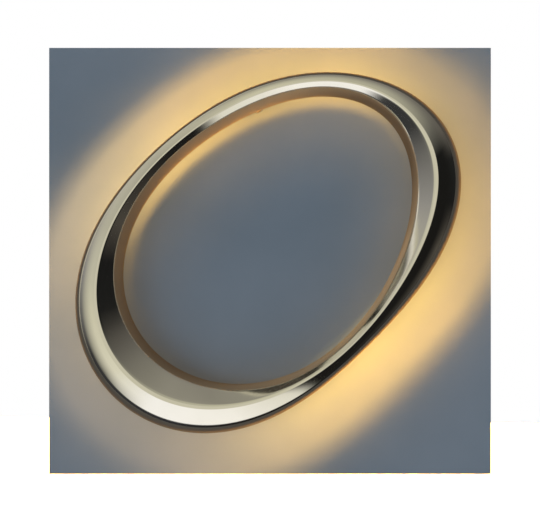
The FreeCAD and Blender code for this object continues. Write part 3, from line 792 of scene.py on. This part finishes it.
# (polar angle in degrees, share of the strip's full power)
OUTER_SHARES = (
    (0, 0.6), (40, 0.4), (65, 0.82), (125, 0.8), (165, 0.66), (182, 0.46),
    (200, 0.27), (240, 0.2), (262, 0.46), (285, 0.92), (320, 1.0), (345, 0.9),
)
INNER_SHARES = ((30, 0.0), (60, 0.5), (118, 0.5), (140, 1.0), (160, 0.6), (182, 0.2), (200, 0.0))
WASH_SHARES = (
    (0, 0.4), (30, 0.5), (60, 1.0), (125, 0.9), (155, 0.75), (180, 0.4), (205, 0.0), (330, 0.15),
)

# tilts are degrees outwards from the wall's normal; of the two colours, the second is for the pale side
STRIPS = {
    "halo_outer": {
        "power": 0.105, "tilt": 55, "swing": 10, "level": LAMP_LEVEL, "width": 0.003,
        "colours": (AMBER, PEACH), "shares": OUTER_SHARES,
    },
    "halo_near": {
        "power": 0.027, "tilt": 52, "swing": 0, "level": 0.0105, "width": 0.007,
        "colours": (GOLD, AMBER), "shares": OUTER_SHARES,
    },
    "halo_inner": {
        "power": 0.08, "tilt": -50, "swing": 0, "level": LAMP_LEVEL, "width": 0.003,
        "colours": (AMBER, AMBER), "shares": INNER_SHARES,
    },
    "halo_wash": {
        "power": 0.016, "tilt": -50, "swing": 0, "level": LAMP_LEVEL, "width": 0.010,
        "colours": (AMBER, AMBER), "shares": WASH_SHARES,
    },
}


def strip_lines():
    """How far in from the rim each strip runs, at every station."""
    hole_foot = WIDTH_AT + HOLE_WALL_FLARE
    return {
        "halo_outer": np.minimum(hole_foot / 2, OUTER_INWARD),
        "halo_near": np.full(STATIONS, NEAR_INWARD),
        "halo_inner": hole_foot - INNER_CLEAR,
        "halo_wash": hole_foot - WASH_CLEAR,
    }


def lamp_line(inward):
    """Points evenly spaced along a line round the ring, in plan, given its distance in from the rim."""
    line = RIM_AT + INWARD_AT * inward[:, None]
    closed = np.vstack([line, line[:1]])
    travel = np.concatenate([[0], np.cumsum(np.linalg.norm(np.diff(closed, axis=0), axis=1))])
    wanted = np.linspace(0, travel[-1], LAMPS, endpoint=False)
    across = np.interp(wanted, travel, closed[:, 0])
    up = np.interp(wanted, travel, closed[:, 1])
    return [Vector(point) for point in zip(across, up)]


def even_fall(light):
    """Makes a lamp's light hold its strength over the wall instead of fading with distance."""
    light.use_nodes = True
    tree = light.node_tree
    fall = node(tree, "ShaderNodeLightFalloff", values={"Strength": LAMP_REACH**-2})
    tree.links.new(fall.outputs["Constant"], tree.nodes["Emission"].inputs["Strength"])


def make_lamp(name, start, end, turn, strip, share):
    """One length of warm light from start to end in plan, tilted off the wall's normal."""
    light = bpy.data.lights.new(name, "AREA")
    light.shape = "RECTANGLE"
    light.size = (end - start).length
    light.size_y = strip["width"]
    light.energy = strip["power"] * share
    main, pale = (Vector(colour) for colour in strip["colours"])
    light.color = main.lerp(pale, max(0.0, math.cos(turn - PALE_TURN)))
    even_fall(light)

    lamp = bpy.data.objects.new(name, light)
    bpy.context.collection.objects.link(lamp)
    middle = (start + end) / 2
    along = (end - start).normalized()
    lamp.location = (middle.x, -STAND_OFF - strip["level"], middle.y)
    tilt = math.radians(strip["tilt"]) - math.radians(strip["swing"]) * math.cos(turn - SWING_TURN)
    side = Vector((along.x, 0, along.y))
    outward = Vector((along.y, 0, -along.x))
    ray = Vector((0, math.cos(tilt), 0)) + outward * math.sin(tilt)
    lamp.rotation_mode = "QUATERNION"
    lamp.rotation_quaternion = Matrix((side, side.cross(ray), -ray)).transposed().to_quaternion()
    lamp.visible_camera = False
    lamp.visible_glossy = False
    lamp.parent = frame["bodies"]["light_tray"]
    lamp.matrix_parent_inverse = frame["bodies"]["light_tray"].matrix_world.inverted()


def make_strip(name, inward):
    """A ring of lamps whose strength, tilt and colour change round the ring."""
    strip = STRIPS[name]
    angles, shares = zip(*strip["shares"])
    points = lamp_line(inward)
    for index, start in enumerate(points):
        end = points[(index + 1) % LAMPS]
        turn = math.atan2(start.y + end.y, start.x + end.x)
        share = float(np.interp(math.degrees(turn) % 360, angles, shares, period=360))
        if share > 0:
            make_lamp(f"{name}_{index}", start, end, turn, strip, share)


def make_lamps():
    """Warm light that shines through the panel on to the wall and lifts with the tray."""
    frame["nodes"]["back_panel"].visible_shadow = False
    for name, inward in strip_lines().items():
        make_strip(name, inward)


make_lamps()


# ---- camera ----------------------------------------------------------------------------------------

def make_camera():
    """A camera in front of the ring, a little to the right and below."""
    camera = bpy.data.objects.new("camera", bpy.data.cameras.new("camera"))
    bpy.context.collection.objects.link(camera)
    camera.data.sensor_width = SENSOR
    camera.data.lens = CAMERA_LENS
    camera.location = CAMERA_AT
    look = Vector(CAMERA_AIM) - Vector(CAMERA_AT)
    camera.rotation_mode = "QUATERNION"
    camera.rotation_quaternion = look.to_track_quat("-Z", "Y")
    camera.data.clip_start = 0.01
    bpy.context.scene.camera = camera


make_camera()
bpy.context.scene.view_settings.view_transform = "Standard"
